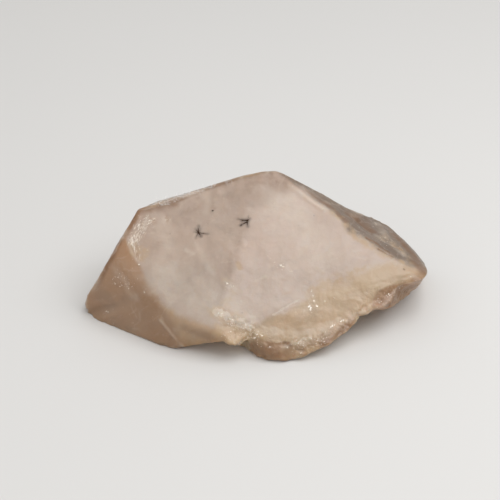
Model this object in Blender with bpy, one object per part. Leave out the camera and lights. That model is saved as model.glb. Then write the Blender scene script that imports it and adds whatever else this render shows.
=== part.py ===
"""A natural star quartz crystal, lying on its flat side.

One grown crystal: two broad growth faces meet along a soft ridge, the left end
closes in two facets, the right end narrows to a worn tip, and the lower front
is an old break with a lump of quartz left standing proud of it.
"""

import math

import bmesh
import bpy
from mathutils import Matrix, Vector

MM = 0.001

# Sizes in millimetres, angles in degrees.
# A face is (turn, tilt, reach): turn is the way it looks round from the front, tilt how far it
# looks up, and reach how far it stands from the working centre under the crystal's middle.
LEFT_BROAD_FACE = (-10, 55, 13.6)
RIGHT_BROAD_FACE = (9, 52, 12.4)
LEFT_END_FACE = (-40, 18, 19.7)
LEFT_LOWER_FACE = (-26, 0, 16.2)
LEFT_HIDDEN_FACE = (-108, 24, 29.6)
TOP_EDGE_FACE = (-148, 58, 26.8)
RIGHT_UPPER_FACE = (96, 61, 24.4)
BACK_FACE = (176, 12, 18.4)
BACK_LOWER_FACE = (-172, -22, 15.5)
RIGHT_BACK_FACE = (112, 37, 31.2)
TIP_FACE = (84, -6, 31.8)
RIGHT_UNDER_FACE = (32, -39, 8.5)
BREAK_FACE = (12, 40, 12.8)
LEFT_UNDER_FACE = (23, -60, 1.8)

# The lump on the lower front
LUMP_LEFT_FACE = (-62, -12, 6.2)
LUMP_FRONT_FACE = (-14, -14, 12.7)
LUMP_RIGHT_FACE = (54, -44, 10.2)
LUMP_INNER_FACE = (180, 0, -3.0)

# Shell-shaped chips: where the hollow's ball stands, and the ball's radius
CHIPS = {
    "chip_break_step": ((-4.3, -18.1, 12.5), 8.6),
    "chip_upper_right": ((21.8, 20.2, 24.7), 12.0),
    "chip_back": ((-10.0, 31.1, 15.0), 16.0),
    "chip_back_foot": ((13.0, 30.0, -3.0), 12.8),
}
CHIP_ROUNDNESS = 96

BLOCK_SIZE = 160.0
CRYSTAL_COLOUR = (0.56, 0.43, 0.34, 1.0)
CRYSTAL_ROUGHNESS = 0.45
CRYSTAL_IOR = 1.544
CRYSTAL_CLEARNESS = 0.35


def clear_scene():
    for obj in list(bpy.data.objects):
        bpy.data.objects.remove(obj, do_unlink=True)


def new_collection(name, hidden=False):
    collection = bpy.data.collections.new(name)
    bpy.context.scene.collection.children.link(collection)
    collection.hide_render = hidden
    return collection


def looks_towards(turn, tilt):
    """The direction of a face that is turned round from the front and tilted up."""
    turn = math.radians(turn)
    tilt = math.radians(tilt)
    return Vector(
        (
            math.sin(turn) * math.cos(tilt),
            -math.cos(turn) * math.cos(tilt),
            math.sin(tilt),
        )
    )


def new_object(name, work, collection):
    work.normal_update()
    mesh = bpy.data.meshes.new(name)
    work.to_mesh(mesh)
    work.free()
    obj = bpy.data.objects.new(name, mesh)
    collection.objects.link(obj)
    return obj


def faceted_solid(name, faces, collection):
    """A block cut by one plane for each face, and by the level plane it rests on."""
    work = bmesh.new()
    bmesh.ops.create_cube(work, size=BLOCK_SIZE * MM)
    resting = (Vector((0, 0, 0)), Vector((0, 0, -1)))
    cuts = [resting]
    for turn, tilt, reach in faces:
        normal = looks_towards(turn, tilt)
        cuts.append((normal * reach * MM, normal))
    for point, normal in cuts:
        everything = work.verts[:] + work.edges[:] + work.faces[:]
        cut = bmesh.ops.bisect_plane(
            work, geom=everything, plane_co=point, plane_no=normal, clear_outer=True
        )
        rim = [item for item in cut["geom_cut"] if isinstance(item, bmesh.types.BMEdge)]
        bmesh.ops.contextual_create(work, geom=rim)
    bmesh.ops.recalc_face_normals(work, faces=work.faces[:])
    return new_object(name, work, collection)


def chip_cutter(name, centre, radius, collection):
    work = bmesh.new()
    bmesh.ops.create_uvsphere(
        work,
        u_segments=CHIP_ROUNDNESS,
        v_segments=CHIP_ROUNDNESS // 2,
        radius=radius * MM,
        matrix=Matrix.Translation(Vector(centre) * MM),
    )
    cutter = new_object(name, work, collection)
    cutter.display_type = "WIRE"
    cutter.hide_render = True
    return cutter


def boolean(target, other, operation):
    modifier = target.modifiers.new(other.name, "BOOLEAN")
    modifier.operation = operation
    modifier.solver = "EXACT"
    modifier.object = other


def crystal_material():
    material = bpy.data.materials.new("milky_quartz")
    material.use_nodes = True
    shader = material.node_tree.nodes["Principled BSDF"]
    shader.inputs["Base Color"].default_value = CRYSTAL_COLOUR
    shader.inputs["Roughness"].default_value = CRYSTAL_ROUGHNESS
    shader.inputs["Metallic"].default_value = 0.0
    shader.inputs["IOR"].default_value = CRYSTAL_IOR
    shader.inputs["Transmission Weight"].default_value = CRYSTAL_CLEARNESS
    material.diffuse_color = CRYSTAL_COLOUR
    return material


def stand_on_origin(obj):
    """Bakes the modifiers in, then moves the bottom centre of the solid to the origin."""
    graph = bpy.context.evaluated_depsgraph_get()
    finished = bpy.data.meshes.new_from_object(obj.evaluated_get(graph))
    obj.modifiers.clear()
    obj.data = finished
    xs = [vertex.co.x for vertex in finished.vertices]
    ys = [vertex.co.y for vertex in finished.vertices]
    middle = Vector((min(xs) + max(xs), min(ys) + max(ys), 0)) / 2
    finished.transform(Matrix.Translation(-middle))


def main():
    clear_scene()
    parts = new_collection("star_quartz")
    cutters = new_collection("cutters", hidden=True)

    crystal_faces = (
        LEFT_BROAD_FACE,
        RIGHT_BROAD_FACE,
        LEFT_END_FACE,
        LEFT_LOWER_FACE,
        LEFT_HIDDEN_FACE,
        TOP_EDGE_FACE,
        RIGHT_UPPER_FACE,
        BACK_FACE,
        BACK_LOWER_FACE,
        RIGHT_BACK_FACE,
        TIP_FACE,
        RIGHT_UNDER_FACE,
        BREAK_FACE,
        LEFT_UNDER_FACE,
    )
    lump_faces = (
        LEFT_BROAD_FACE,
        RIGHT_BROAD_FACE,
        BREAK_FACE,
        LUMP_LEFT_FACE,
        LUMP_FRONT_FACE,
        LUMP_RIGHT_FACE,
        LUMP_INNER_FACE,
    )

    crystal = faceted_solid("quartz_crystal", crystal_faces, parts)
    lump = faceted_solid("front_lump", lump_faces, cutters)
    lump.display_type = "WIRE"
    lump.hide_render = True
    boolean(crystal, lump, "UNION")
    for name, (centre, radius) in CHIPS.items():
        boolean(crystal, chip_cutter(name, centre, radius, cutters), "DIFFERENCE")
    stand_on_origin(crystal)
    crystal.data.materials.clear()
    crystal.data.materials.append(crystal_material())


main()
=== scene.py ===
"""The looks of a natural star quartz crystal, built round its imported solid.

The crystal's surface is a fine mesh shaped from the solid. The needle stars, the
glittering flakes and the lint on the top edge are small meshes placed on it.
"""

import math
import random

import bmesh
import bpy
import numpy as np
from bpy.props import FloatProperty, FloatVectorProperty, IntProperty, PointerProperty
from mathutils import Matrix, Vector, noise
from mathutils.bvhtree import BVHTree


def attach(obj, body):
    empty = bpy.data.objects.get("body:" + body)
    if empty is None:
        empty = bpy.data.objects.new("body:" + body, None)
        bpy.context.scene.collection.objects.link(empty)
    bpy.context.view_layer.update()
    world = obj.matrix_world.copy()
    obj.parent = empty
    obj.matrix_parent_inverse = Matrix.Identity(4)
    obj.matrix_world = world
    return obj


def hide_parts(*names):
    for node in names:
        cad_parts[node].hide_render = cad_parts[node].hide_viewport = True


bl_info = {
    "name": "Star Quartz",
    "version": (1, 0, 0),
    "blender": (4, 5, 0),
    "location": "3D View > Sidebar > Quartz",
    "description": "Builds a star quartz crystal round its solid",
    "category": "Add Mesh",
}

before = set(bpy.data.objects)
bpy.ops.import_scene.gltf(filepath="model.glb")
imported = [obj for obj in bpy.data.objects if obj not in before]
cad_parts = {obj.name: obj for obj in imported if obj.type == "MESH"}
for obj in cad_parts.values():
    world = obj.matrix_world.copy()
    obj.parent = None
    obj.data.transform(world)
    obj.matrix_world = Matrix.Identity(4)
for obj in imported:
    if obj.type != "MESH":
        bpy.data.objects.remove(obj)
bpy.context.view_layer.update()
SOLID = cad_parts["quartz_crystal"]

MM = 0.001
NOISE_SEED = 7
QUARTZ_IOR = 1.544
# The lights, in metres; the fill light has this share of the key light's power
KEY_PLACE = (0.16, -0.06, 0.36)
FILL_PLACE = (-0.28, -0.30, 0.30)
FILL_SIDE = 0.30
FILL_SHARE = 0.18
STAR_SHADE = (0.115, 0.066, 0.042)  # the brown shadow round a star, under the surface

# The view: how far the camera looks down, how far off it stands, what it looks at, and how much
# of the crystal one pixel of the 500-pixel photograph covers.
VIEW_TILT = math.radians(33)
VIEW_DISTANCE = 294 * MM
VIEW_TARGET = Vector((-1.49, 1.05, 14.0)) * MM
PHOTO_SIDE = 500
PIXEL = 0.1924 * MM

# Faces of the solid, as the way they look: turned round from the front, tilted up, in degrees.
FACES = {
    "broad": ((-10, 55), (9, 52)),
    "left_end": ((-40, 18), (-26, 0)),
    "left_side": ((-108, 24),),
    "top_rim": ((-148, 58),),
    "band": ((96, 61), (112, 37)),
    "break": ((12, 40),),
    "under": ((32, -39), (-62, -12), (-14, -14), (54, -44), (23, -60), (-172, -22)),
    "back": ((176, 12),),
    "tip": ((84, -6),),
    "resting": ((0, -90),),
}
# The parts that the camera can't see, each with its faces
HIDDEN_PARTS = {
    "left_faces": ("left_side",),
    "back_faces": ("back", "top_rim"),
    "under_faces": ("under", "tip"),
}
# The way that the growth lines are stacked, and their spacing
GROWTH_WAY = (0.30, 0.25, 0.92)
GROWTH_SPACING = 0.42 * MM
# How far out a painted stroke or tuft fades, for its half width
STROKE_FADE = 2.2

# Places on the photograph, in pixels of its 500 by 500 frame.

# The crystal's outline, clockwise from the upper left corner
OUTLINE = (
    (138, 209), (158, 200.5), (189, 192), (220, 182.5), (243, 175.5), (262, 171.5), (276, 171),
    (284, 174), (306, 185.5), (322, 193.5), (338, 203), (350, 209), (375, 218.5), (388, 225),
    (403, 238), (415, 250), (425, 263), (428, 273), (421, 284), (411, 294), (397, 304.5),
    (388, 310), (374, 311), (370, 314), (361, 316), (354, 325), (346, 332.5), (337, 338.5),
    (330, 345), (320, 349), (303, 357.5), (285, 361), (267, 360), (258, 357), (250, 351),
    (243, 346), (229, 345), (223, 341.5), (205, 343.5), (184, 347.5), (175, 349), (160, 345),
    (131, 334), (97, 320.5), (89, 314), (85, 306), (85, 301), (87.5, 294), (105, 265),
    (118, 242), (131, 221.5),
)
OUTLINE_MIDDLE = (250, 265)

# Borders that are softly rounded, each with the distance that the rounding reaches
SOFT_BORDERS = {
    "left_end": (((117, 252), (128, 262), (150, 292), (169, 314), (212, 333)), 4.5),
    "ridge": (((262, 174), (250, 205), (238, 250), (218, 312)), 5.0),
    "break": (((250, 322), (300, 306), (350, 290), (412, 272)), 4.0),
    "lump": (((258, 338), (262, 345), (292, 361)), 4.0),
}

# The side of the brighter right broad face, whose colour is pinker and partly painted light: along the
# ridge, then round the right of the picture
LIT_RIGHT_SIDE = (
    (330, 180), (300, 186), (272, 200), (252, 214), (243, 240), (232, 275), (224, 300), (215, 330),
    (300, 400), (500, 400), (500, 100), (330, 100),
)

# Zones of one look: how soft the border is in its upper and lower part, in pixels, and the outline
ZONES = {
    # The clear left end: its own clear brown, made darker as painted shade
    "clear_end": (3.0, 11.0, (
        (134, 206), (130, 226), (126, 240), (131, 252), (140, 265), (145, 278), (151, 290),
        (160, 303), (168, 314), (190, 358), (140, 360), (70, 335), (60, 300), (118, 215),
    )),
    "left_foot": (9.0, 9.0, (
        (144, 284), (158, 300), (176, 314), (198, 323), (228, 334), (228, 356), (190, 362),
        (166, 320),
    )),
    "broken_front": (11.0, 11.0, (
        (217, 332), (236, 327), (252, 329), (275, 316), (300, 303), (322, 291), (350, 284),
        (372, 270), (398, 262), (422, 270), (446, 275), (410, 326), (365, 332), (335, 360),
        (300, 378), (260, 376), (235, 360), (222, 350),
    )),
    # The right upper band: its own greyish brown, made darker as painted shade
    "right_band": (7.0, 5.0, (
        (272, 158), (283, 176), (297, 185), (311, 195), (328, 208), (338, 216), (348, 231),
        (368, 242), (392, 257), (408, 264), (426, 272), (440, 272), (410, 225), (350, 190),
        (300, 160),
    )),
    # The window under the lump: clear brown, made darker as painted shade
    "shaded_window": (2.5, 2.5, (
        (249, 342), (262, 340), (276, 343), (290, 341), (296, 351), (290, 370), (254, 370),
    )),
    # The hollow at the lower right, at the foot of the break: brown, made darker as painted shade
    "shaded_brown_hollow": (4.0, 4.0, (
        (372, 303), (378, 290), (394, 285), (410, 281), (421, 277), (436, 280), (406, 320),
        (370, 320),
    )),
}

# The lower rim of the break, where it is crumbly
CRUMBLY_FOOT = (
    (217, 312), (240, 320), (262, 332), (290, 338), (322, 338), (352, 312), (372, 290),
    (400, 284), (420, 280), (420, 300), (360, 330), (320, 365), (250, 365), (220, 345),
)

# Streaks and spots: a path, its half width in millimetres, and its strength
PALE_VEILS = (
    (((206, 193), (207.5, 202), (206, 212)), 0.9, 0.55),
    (((157, 222), (169, 220)), 0.6, 0.5),
    (((150, 218), (145, 225), (134, 236)), 1.0, 0.38),
    (((158, 227), (168, 238), (175, 250)), 1.9, 0.5),
    (((186, 250), (193, 254)), 0.5, 0.6),
    (((197, 246), (204, 260), (213, 273)), 0.8, 0.5),
    (((277, 203), (290, 206), (300, 222)), 2.8, 0.6),
    (((312, 238), (322, 252)), 3.2, 0.55),
    (((228, 298), (238, 306), (250, 318)), 1.8, 0.6),
    (((160, 320), (167, 328), (174, 337), (183, 346)), 0.34, 0.62),
    (((120, 276), (126, 284), (133, 295)), 0.9, 0.42),
    (((113, 268), (122, 278), (130, 290), (137, 298)), 1.2, 0.4),
    (((128, 240), (131, 252), (139, 264)), 0.4, 0.5),
    (((289, 186), (308, 199), (325, 209)), 0.7, 0.5),
    (((378, 224), (386, 236)), 1.2, 0.45),
    (((226, 280), (229, 286), (235, 291)), 0.9, 0.55),
    (((376, 236), (392, 246), (404, 255)), 0.9, 0.50),
    (((178, 331), (192, 336)), 1.6, 0.35),
    (((296, 184), (312, 192), (330, 204)), 0.5, 0.45),
    (((255, 281), (266, 276)), 0.3, 0.5),
    (((283, 348), (296, 343), (310, 338)), 0.5, 0.55),
    (((166, 276), (185, 292), (207, 304)), 4.5, 0.60),
    (((300, 316), (330, 308), (352, 300)), 2.0, 0.3),
)
# Dark streaks and painted shade. Most rows that run along the outline are painted shade along the rim;
# the row down the ridge between the broad faces is painted shade beside it; the rest are dark lines,
# cracks and a speck.
DARK_STREAKS_AND_SHADE = (
    (((176, 202), (205, 190), (235, 180), (258, 174)), 0.35, 0.6),
    (((264, 175), (276, 180)), 1.8, 0.3),
    (((414, 262), (425, 273)), 1.1, 0.7),
    (((262, 352), (285, 357), (305, 353)), 0.8, 0.5),
    (((140, 211), (152, 206), (172, 203)), 1.3, 0.65),
    (((139, 211), (127, 232), (112, 258), (97, 284)), 0.7, 0.7),
    (((322, 345), (337, 335), (352, 323)), 0.9, 0.7),
    (((306, 190), (325, 203), (345, 221)), 0.6, 0.5),
    (((350, 216), (359, 223), (369, 230)), 1.2, 0.6),
    (((366, 238), (378, 244), (390, 253)), 0.20, 0.80),
    (((371, 234), (390, 243), (402, 250)), 0.16, 0.70),
    (((378, 249), (393, 257)), 0.18, 0.80),
    (((395, 236), (415, 257)), 1.0, 0.6),
    # Painted shade beside the ridge between the broad faces
    (((247, 230), (236, 255), (227, 286)), 1.4, 0.30),
    (((256, 346), (270, 352), (285, 354)), 1.8, 0.55),
    (((186, 330), (207, 335), (220, 340)), 1.3, 0.42),
    (((284, 342), (291, 346)), 0.4, 0.55),
    (((295, 349), (304, 351)), 0.4, 0.55),
    (((403.7, 269), (404.4, 269.6)), 0.16, 0.9),
    (((252, 177), (268, 178), (284, 184)), 2.2, 0.46),
    (((196, 208), (222, 200), (246, 188)), 3.0, 0.34),
    (((300, 350), (318, 343), (334, 334)), 1.3, 0.50),
    (((384, 303), (396, 297), (412, 287)), 1.5, 0.60),
    (((414, 258), (423, 270), (418, 280)), 1.2, 0.58),
    (((276, 234), (284, 236), (292, 233)), 0.35, 0.16),
    (((266, 260), (273, 264)), 0.4, 0.16),
    (((168, 291), (178, 293)), 0.4, 0.3),
)
YELLOW_STAINS = (
    (((238, 263), (240, 268)), 0.50, 0.62),
    (((226, 281), (234, 291)), 1.2, 0.40),
    (((218, 313), (236, 321), (250, 329)), 1.7, 0.66),
    (((385, 238), (402, 250), (412, 262)), 1.3, 0.45),
    (((224, 332), (240, 335), (255, 338)), 1.9, 0.9),
    (((322, 293), (345, 287), (366, 279)), 2.6, 0.7),
    (((334, 212), (350, 232), (376, 250), (402, 262)), 0.9, 0.55),
    (((290, 350), (312, 347), (332, 338)), 2.0, 0.6),
    (((257, 332), (262, 338)), 0.9, 1.0),
    (((133, 247), (142, 255)), 1.6, 0.6),
    (((228, 300), (224, 312)), 1.2, 0.5),
)
# Grooves and ridges: a path, its half width and its height in millimetres
RELIEF = (
    (((160, 320), (167, 328), (174, 337), (183, 346)), 0.7, 0.22),
    (((306, 190), (325, 203), (345, 221)), 0.9, -0.30),
    (((289, 186), (308, 199), (325, 209)), 0.8, 0.16),
    (((346, 213), (358, 221), (370, 231)), 2.2, -0.40),
    (((366, 238), (378, 244), (390, 253)), 0.5, -0.28),
    (((371, 234), (390, 243), (402, 250)), 0.5, -0.25),
    (((378, 249), (393, 257)), 0.4, -0.22),
    (((380, 226), (386, 236)), 1.6, 0.35),
    (((124, 274), (130, 290), (137, 298)), 0.8, -0.16),
    (((374, 300), (390, 294), (404, 288)), 1.8, -0.55),
    (((362, 313), (371, 309)), 0.9, 0.25),
    (((283, 348), (296, 343), (310, 338)), 0.5, 0.20),
    (((284, 344), (304, 351)), 0.8, -0.18),
    (((300, 316), (322, 312), (345, 300)), 3.0, 0.14),
    (((270, 324), (300, 328), (330, 322)), 2.6, -0.08),
    (((250, 330), (262, 337)), 0.9, 0.30),
)

# Each star: paths that start at its core, with how thick and how dark they are
STARS = {
    "left_star": (
        (((198.0, 231.4), (198.3, 232.6), (199.0, 233.6)), 1.3, 1.0),
        (((198.3, 232.6), (199.8, 234.2), (200.8, 236.2)), 1.0, 1.0),
        (((198.3, 232.6), (203.0, 233.5), (208.0, 234.0)), 0.42, 0.65),
        (((198.3, 232.6), (198.0, 230.0), (198.8, 226.4)), 1.0, 0.7),
        (((198.3, 232.6), (196.9, 235.2), (196.0, 238.0)), 0.60, 0.55),
        (((198.3, 232.6), (196.8, 230.4), (195.4, 228.6)), 0.60, 0.5),
        (((198.3, 232.6), (199.6, 230.6), (200.8, 228.4)), 0.50, 0.4),
        (((198.3, 232.6), (196.4, 232.4), (194.4, 232.0)), 0.50, 0.4),
    ),
    "right_star": (
        (((248.0, 220.4), (245.0, 220.3), (241.9, 220.3)), 1.1, 1.0),
        (((242.4, 220.3), (243.4, 220.3), (245.4, 220.3)), 0.9, 1.0),
        (((240.7, 225.5), (241.2, 225.1), (242.4, 224.2)), 0.9, 0.9),
        (((243.6, 220.2), (240.8, 219.6), (238.0, 218.9)), 0.50, 0.5),
        (((247.2, 222.0), (247.2, 224.2), (247.7, 226.4)), 0.90, 0.8),
        (((247.0, 222.2), (243.8, 223.4), (241.0, 225.4)), 0.85, 0.9),
        (((247.4, 220.6), (248.5, 219.6), (249.8, 218.5)), 0.75, 0.7),
        (((247.4, 220.4), (248.0, 218.4), (248.6, 216.0)), 0.40, 0.4),
        (((247.4, 220.4), (247.3, 221.2), (247.2, 222.4)), 1.0, 1.0),
    ),
}
DARK_SPECK = (212.8, 210.6)
JAGGED_SCAR = (
    (216.5, 312.5), (222, 313.5), (227, 317.5), (232, 319.5), (239, 321), (244, 324.5), (250, 326.5),
)
WHITE_SCRATCH = ((273.5, 314.5), (286.0, 307.0), (299.0, 299.5))
# Tufts of the pale fan: the middle, the reach, how many splinters, and which way they lie
FAN_TUFTS = (
    ((136, 237), 3.6, 60, (-1.0, 3.0)), ((132, 242), 2.4, 24, (-0.2, 3.0)),
    ((141, 228), 4.2, 44, (-2.0, 3.0)), ((147, 221), 4.0, 34, (-3.0, 2.2)),
    ((153, 221), 3.0, 12, (-3.0, 1.0)), ((167, 219.5), 3.5, 9, (-3.0, 0.6)),
    ((135, 248), 3.0, 18, (0.4, 3.0)), ((138, 256), 3.4, 8, (1.0, 3.0)),
)
GLINTS = (
    (309.2, 306.5, 1.5), (309.8, 309.5, 1.3), (310.4, 307.5, 1.2), (314, 301, 1.0),
    (317, 306.3, 1.1), (311, 291, 0.7), (313, 296, 0.6), (332.5, 326.5, 1.1), (330.5, 327.5, 0.9),
    (334.5, 325.5, 0.8), (341, 321.5, 1.1), (343, 320.2, 1.0), (283, 267, 1.1), (281, 265.5, 0.8),
    (275, 262, 0.5), (291, 271, 0.6), (106.5, 311, 0.8), (108, 311.8, 0.7), (262, 336, 0.7),
    (311, 338.2, 0.7), (306, 340, 0.8), (301, 342, 0.8), (298, 343.5, 0.7), (288, 347, 0.6),
    (318, 340, 0.6), (227, 283, 0.7), (325, 301, 0.6), (334, 298, 0.6), (399, 288, 0.8),
    (389, 294, 0.8), (378, 299, 0.7), (139, 264.5, 0.7), (144, 292, 0.6), (270, 347, 0.6),
    (301, 353, 0.6), (218, 313, 0.9), (221, 314, 0.8), (231, 319, 1.0), (233, 320, 0.8),
    (246, 325, 0.8), (249, 326.5, 0.8), (257, 334, 0.8), (254, 338, 0.8), (275, 203, 0.5),
    (115, 284, 0.6), (129, 289, 0.5), (147, 250, 0.4), (293, 186, 0.4), (322, 209, 0.5),
)

# Patches where many tiny flakes glitter: the middle, the reach in pixels, and how many
SPARKLES = (
    ((234, 321), 7, 26), ((246, 334), 8, 26), ((228, 338), 6, 14), ((229, 286), 5, 12),
    ((298, 345), 10, 34), ((322, 338), 7, 14), ((392, 292), 9, 26), ((379, 302), 5, 10),
    ((410, 282), 7, 10), ((258, 335), 4, 12), ((385, 244), 8, 14), ((376, 226), 4, 8),
    ((310, 305), 7, 10), ((143, 222), 8, 14), ((127, 284), 8, 34), ((239, 306), 7, 12),
    ((116, 276), 8, 16), ((222, 314), 4, 12), ((244, 324), 5, 16), ((305, 342), 6, 14),
    ((232, 330), 8, 30), ((252, 333), 6, 24), ((258, 342), 5, 10), ((316, 342), 8, 16),
    ((283, 266), 5, 8), ((392, 296), 7, 14), ((229, 285), 5, 10), ((268, 250), 12, 8),
)
LINT_LINE = ((156, 201), (164, 198.5), (178, 196), (188, 193), (202, 189.5), (218, 184), (232, 178))


def length_setting(name, description, default):
    return FloatProperty(
        name=name, description=description, default=default, unit="LENGTH", precision=5
    )


def colour_setting(name, description, default):
    return FloatVectorProperty(
        name=name, description=description, default=default, subtype="COLOR", size=3,
        min=0, max=1,
    )


class QuartzCrystalSettings(bpy.types.PropertyGroup):
    face_size: length_setting("Face size", "Size of the surface's small faces", 0.27 * MM)
    worn_passes: IntProperty(
        name="Edge wear", description="How often the sharp edges are softened", default=4, min=0,
    )
    swell: length_setting("Swell", "Height of the growth faces' broad unevenness", 0.30 * MM)
    etch: length_setting("Etch", "Depth of the fine dull etching", 0.028 * MM)
    fracture: length_setting("Fracture", "Depth of the steps on broken faces", 0.55 * MM)
    striation: length_setting(
        "Striation", "Depth of the growth lines on the back faces", 0.07 * MM
    )
    chip_depth: length_setting("Edge chips", "Depth of the small chips along edges", 0.55 * MM)
    milky_left: colour_setting("Milky left", "The left broad face", (0.60, 0.465, 0.375))
    # The right broad face's colour: pinker than the left's, and made lighter as painted light
    milky_right: colour_setting("Milky right", "The right broad face", (0.72, 0.575, 0.480))
    # Laid over the clear end, the window and the hollow, where it is partly painted shade
    clear_brown: colour_setting("Clear brown", "The clearer left end", (0.47, 0.265, 0.137))
    # Laid over the dark streaks, which are partly painted shade, and used for the gloom on the hidden
    # faces
    deep_brown: colour_setting("Deep brown", "The deepest places", (0.27, 0.130, 0.055))
    olive_brown: colour_setting(
        "Olive brown", "The left foot and the dirt in the break", (0.62, 0.390, 0.200)
    )
    iron_yellow: colour_setting(
        "Iron yellow", "The stain in the broken parts", (0.66, 0.475, 0.290)
    )
    # Laid over the right band, where it is partly painted shade, and used for the smoky clouds and
    # dark pits
    rim_grey: colour_setting("Rim grey", "The right upper band", (0.190, 0.128, 0.088))
    frost: colour_setting("Frost", "Veils, scars and flecks", (0.92, 0.82, 0.70))
    clearness: FloatProperty(
        name="Clearness", description="How much light passes through", default=0.40,
        min=0, max=1, subtype="FACTOR",
    )


class QuartzInclusionSettings(bpy.types.PropertyGroup):
    needle_width: length_setting(
        "Needle width", "Thickness of a star's needle at the core", 0.30 * MM
    )
    needle_lift: length_setting(
        "Needle lift", "How far the core reaches above the surface", 0.03 * MM
    )
    needle_sink: length_setting(
        "Needle sink", "How far below the surface an arm ends", 0.14 * MM
    )
    needle_colour: colour_setting("Needle colour", "The star needles", (0.045, 0.024, 0.014))
    flake_size: length_setting("Flake size", "Length of a glittering flake", 0.42 * MM)
    fan_fullness: FloatProperty(
        name="Fan fullness", description="Share of the splinters in the left fan", default=1.15,
        min=0,
    )
    lint_count: IntProperty(
        name="Lint hairs", description="Number of hairs on the top edge", default=130, min=0,
    )
    lint_length: length_setting("Lint length", "Length of a hair", 1.1 * MM)
    lint_width: length_setting("Lint width", "Thickness of a hair", 0.05 * MM)


class QuartzStageSettings(bpy.types.PropertyGroup):
    floor_side: length_setting("Floor side", "Side of the square floor", 60.0)
    floor_colour: colour_setting("Floor colour", "The pale floor", (0.66, 0.655, 0.645))
    sky: FloatProperty(
        name="Sky", description="Strength of the even light all round", default=0.64, min=0,
    )
    key_power: FloatProperty(
        name="Key light", description="Power of the main soft light", default=1.08, unit="POWER",
    )
    key_side: length_setting("Key size", "Side of the main soft light", 0.34)


def smooth_step(low, high, value):
    part = np.clip((value - low) / (high - low), 0.0, 1.0)
    return part * part * (3.0 - 2.0 * part)


def looks_towards(turn, tilt):
    turn, tilt = math.radians(turn), math.radians(tilt)
    return Vector(
        (math.sin(turn) * math.cos(tilt), -math.cos(turn) * math.cos(tilt), math.sin(tilt))
    )


def view_axes():
    """The camera's backward, right and up directions."""
    back = looks_towards(0, math.degrees(VIEW_TILT))
    right = Vector((1, 0, 0))
    return back, right, back.cross(right)


def view_ray(pixel):
    back, right, up = view_axes()
    eye = VIEW_TARGET + back * VIEW_DISTANCE
    across = (pixel[0] - PHOTO_SIDE / 2) * PIXEL
    upward = (PHOTO_SIDE / 2 - pixel[1]) * PIXEL
    return eye, (VIEW_TARGET + right * across + up * upward - eye).normalized()


def seen_at(points):
    """Where the camera sees these points, in the photograph's pixels."""
    back, right, up = (np.array(axis) for axis in view_axes())
    off = points - np.array(VIEW_TARGET)
    scale = VIEW_DISTANCE / (VIEW_DISTANCE - off @ back) / PIXEL
    middle = PHOTO_SIDE / 2
    return np.stack((middle + off @ right * scale, middle - off @ up * scale), axis=1)


def tree_of(obj):
    points = [vertex.co for vertex in obj.data.vertices]
    faces = [tuple(face.vertices) for face in obj.data.polygons]
    return BVHTree.FromPolygons(points, faces)


def on_crystal(tree, pixel):
    """Where a pixel of the photograph falls on the crystal, and the surface's direction there."""
    eye, ray = view_ray(pixel)
    place, normal, _, _ = tree.ray_cast(eye, ray)
    if place is None:
        place, normal, _, _ = tree.find_nearest(eye + ray * VIEW_DISTANCE)
    return place, normal


def line_on(tree, path):
    """The places on the crystal that a path of pixels falls on."""
    return [on_crystal(tree, pixel)[0] for pixel in path]


def noise_on(points, size, octaves=3, seed=0):
    """Soft noise from about -1 to 1, with features of that size."""
    shift = Vector((seed * 3.71, seed * 1.93, seed * 5.17))
    scaled = points / size
    return np.array([noise.fractal(Vector(p) + shift, 1.0, 2.0, octaves) for p in scaled])


def broken_steps(points, size, seed=0):
    """Small tilted plates with sharp borders, like quartz that has splintered."""
    shift = Vector((seed * 2.31, seed * 4.57, seed * 0.83))
    height = np.empty(len(points))
    for index, point in enumerate(points / size):
        place = Vector(point) + shift
        distances, centres = noise.voronoi(place)
        lean = noise.noise_vector(centres[0] * 7.3)
        height[index] = (place - centres[0]).dot(lean) * 1.4 + lean.x * 0.5
    return height


def read_points(mesh):
    flat = np.empty(len(mesh.vertices) * 3)
    mesh.vertices.foreach_get("co", flat)
    return flat.reshape(-1, 3)


def write_points(mesh, points):
    mesh.vertices.foreach_set("co", points.astype(np.float32).ravel())
    mesh.update()


def read_normals(mesh):
    flat = np.empty(len(mesh.vertices) * 3, np.float32)
    mesh.vertex_normals.foreach_get("vector", flat)
    return flat.reshape(-1, 3).astype(float)


def read_edges(mesh):
    flat = np.empty(len(mesh.edges) * 2, np.int32)
    mesh.edges.foreach_get("vertices", flat)
    return flat.reshape(-1, 2)


def relaxed(points, edges, passes):
    """The points after each has moved some way towards the middle of its neighbours."""
    count = np.bincount(edges.ravel(), minlength=len(points))[:, None]
    for _ in range(passes):
        total = np.empty_like(points)
        for axis in range(3):
            total[:, axis] = np.bincount(
                edges[:, 0], points[edges[:, 1], axis], len(points)
            ) + np.bincount(edges[:, 1], points[edges[:, 0], axis], len(points))
        points = points + 0.6 * (total / count - points)
    return points


def distance_to_faces(points):
    """For each name in FACES, how far these points are from the solid's faces of that name."""
    corners = [vertex.co for vertex in SOLID.data.vertices]
    ways = [(looks_towards(*way), name) for name, group in FACES.items() for way in group]
    sorted_faces = {name: [] for name in FACES}
    for face in SOLID.data.polygons:
        name = max(ways, key=lambda way: way[0].dot(face.normal))[1]
        sorted_faces[name].append(tuple(face.vertices))
    distances = {}
    for name, faces in sorted_faces.items():
        tree = BVHTree.FromPolygons(corners, faces)
        distances[name] = np.array([tree.find_nearest(Vector(point))[3] for point in points])
    return distances


def near_faces(distances, names, within):
    """1 on the faces of these names, falling to 0 at that distance from them."""
    nearest = np.minimum.reduce([distances[name] for name in names])
    return 1.0 - smooth_step(0.0, within, nearest)


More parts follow.
